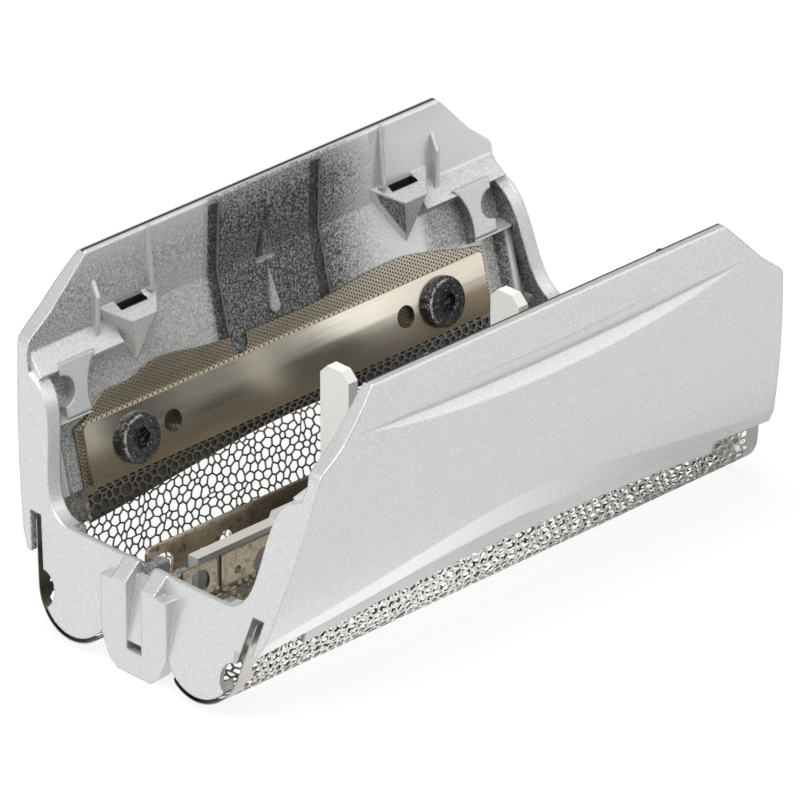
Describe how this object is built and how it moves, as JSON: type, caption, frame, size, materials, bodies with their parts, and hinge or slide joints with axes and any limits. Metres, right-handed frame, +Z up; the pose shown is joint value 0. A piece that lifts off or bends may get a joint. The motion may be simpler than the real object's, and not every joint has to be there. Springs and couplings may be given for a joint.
{
  "type": "shaver foil head",
  "caption": "Foil head of an electric shaver: a silver moulded frame with perforated steel foils, clamp strips and a floating slotted trimmer driven by upright prongs.",
  "frame": {"origin": "middle of the plane that the head rests on, under the bumps at its two ends", "axes": "+X along the head, +Y towards the rear wall, +Z up from the foils to the open side that takes the shaver's body"},
  "size_m": [0.0596, 0.0344, 0.0282],
  "materials": {
    "frame_paint": "silver metallic paint with fine flakes on moulded plastic",
    "foil_steel": "thin bright sheet",
    "strip_steel": "nickel-bright, lightly rolled",
    "rivet_black": "glossy with fine dust",
    "trimmer_steel": "ground sheet",
    "guide_plastic": "satin",
    "driver_plastic": "satin off-white"
  },
  "bodies": {
    "head": {"frame": "frame_paint", "rear_foil": "foil_steel", "front_foil": "foil_steel", "rear_clamp_strip": "strip_steel", "front_clamp_strip": "strip_steel", "rear_clamp_rivets": "rivet_black", "front_clamp_rivets": "rivet_black"},
    "trimmer": {"trimmer_comb": "trimmer_steel", "right_end_guide": "guide_plastic", "left_end_guide": "guide_plastic"},
    "cutter": {"trimmer_blade": "trimmer_steel", "trimmer_driver": "driver_plastic"}
  },
  "joints": [
    {"name": "trimmer_float", "type": "slide", "parent": "head", "child": "trimmer", "axis": [0, 0, 1], "range_m": [0, 0.001]},
    {"name": "blade_stroke", "type": "slide", "parent": "trimmer", "child": "cutter", "axis": [1, 0, 0], "range_m": [-0.001, 0.001]}
  ]
}
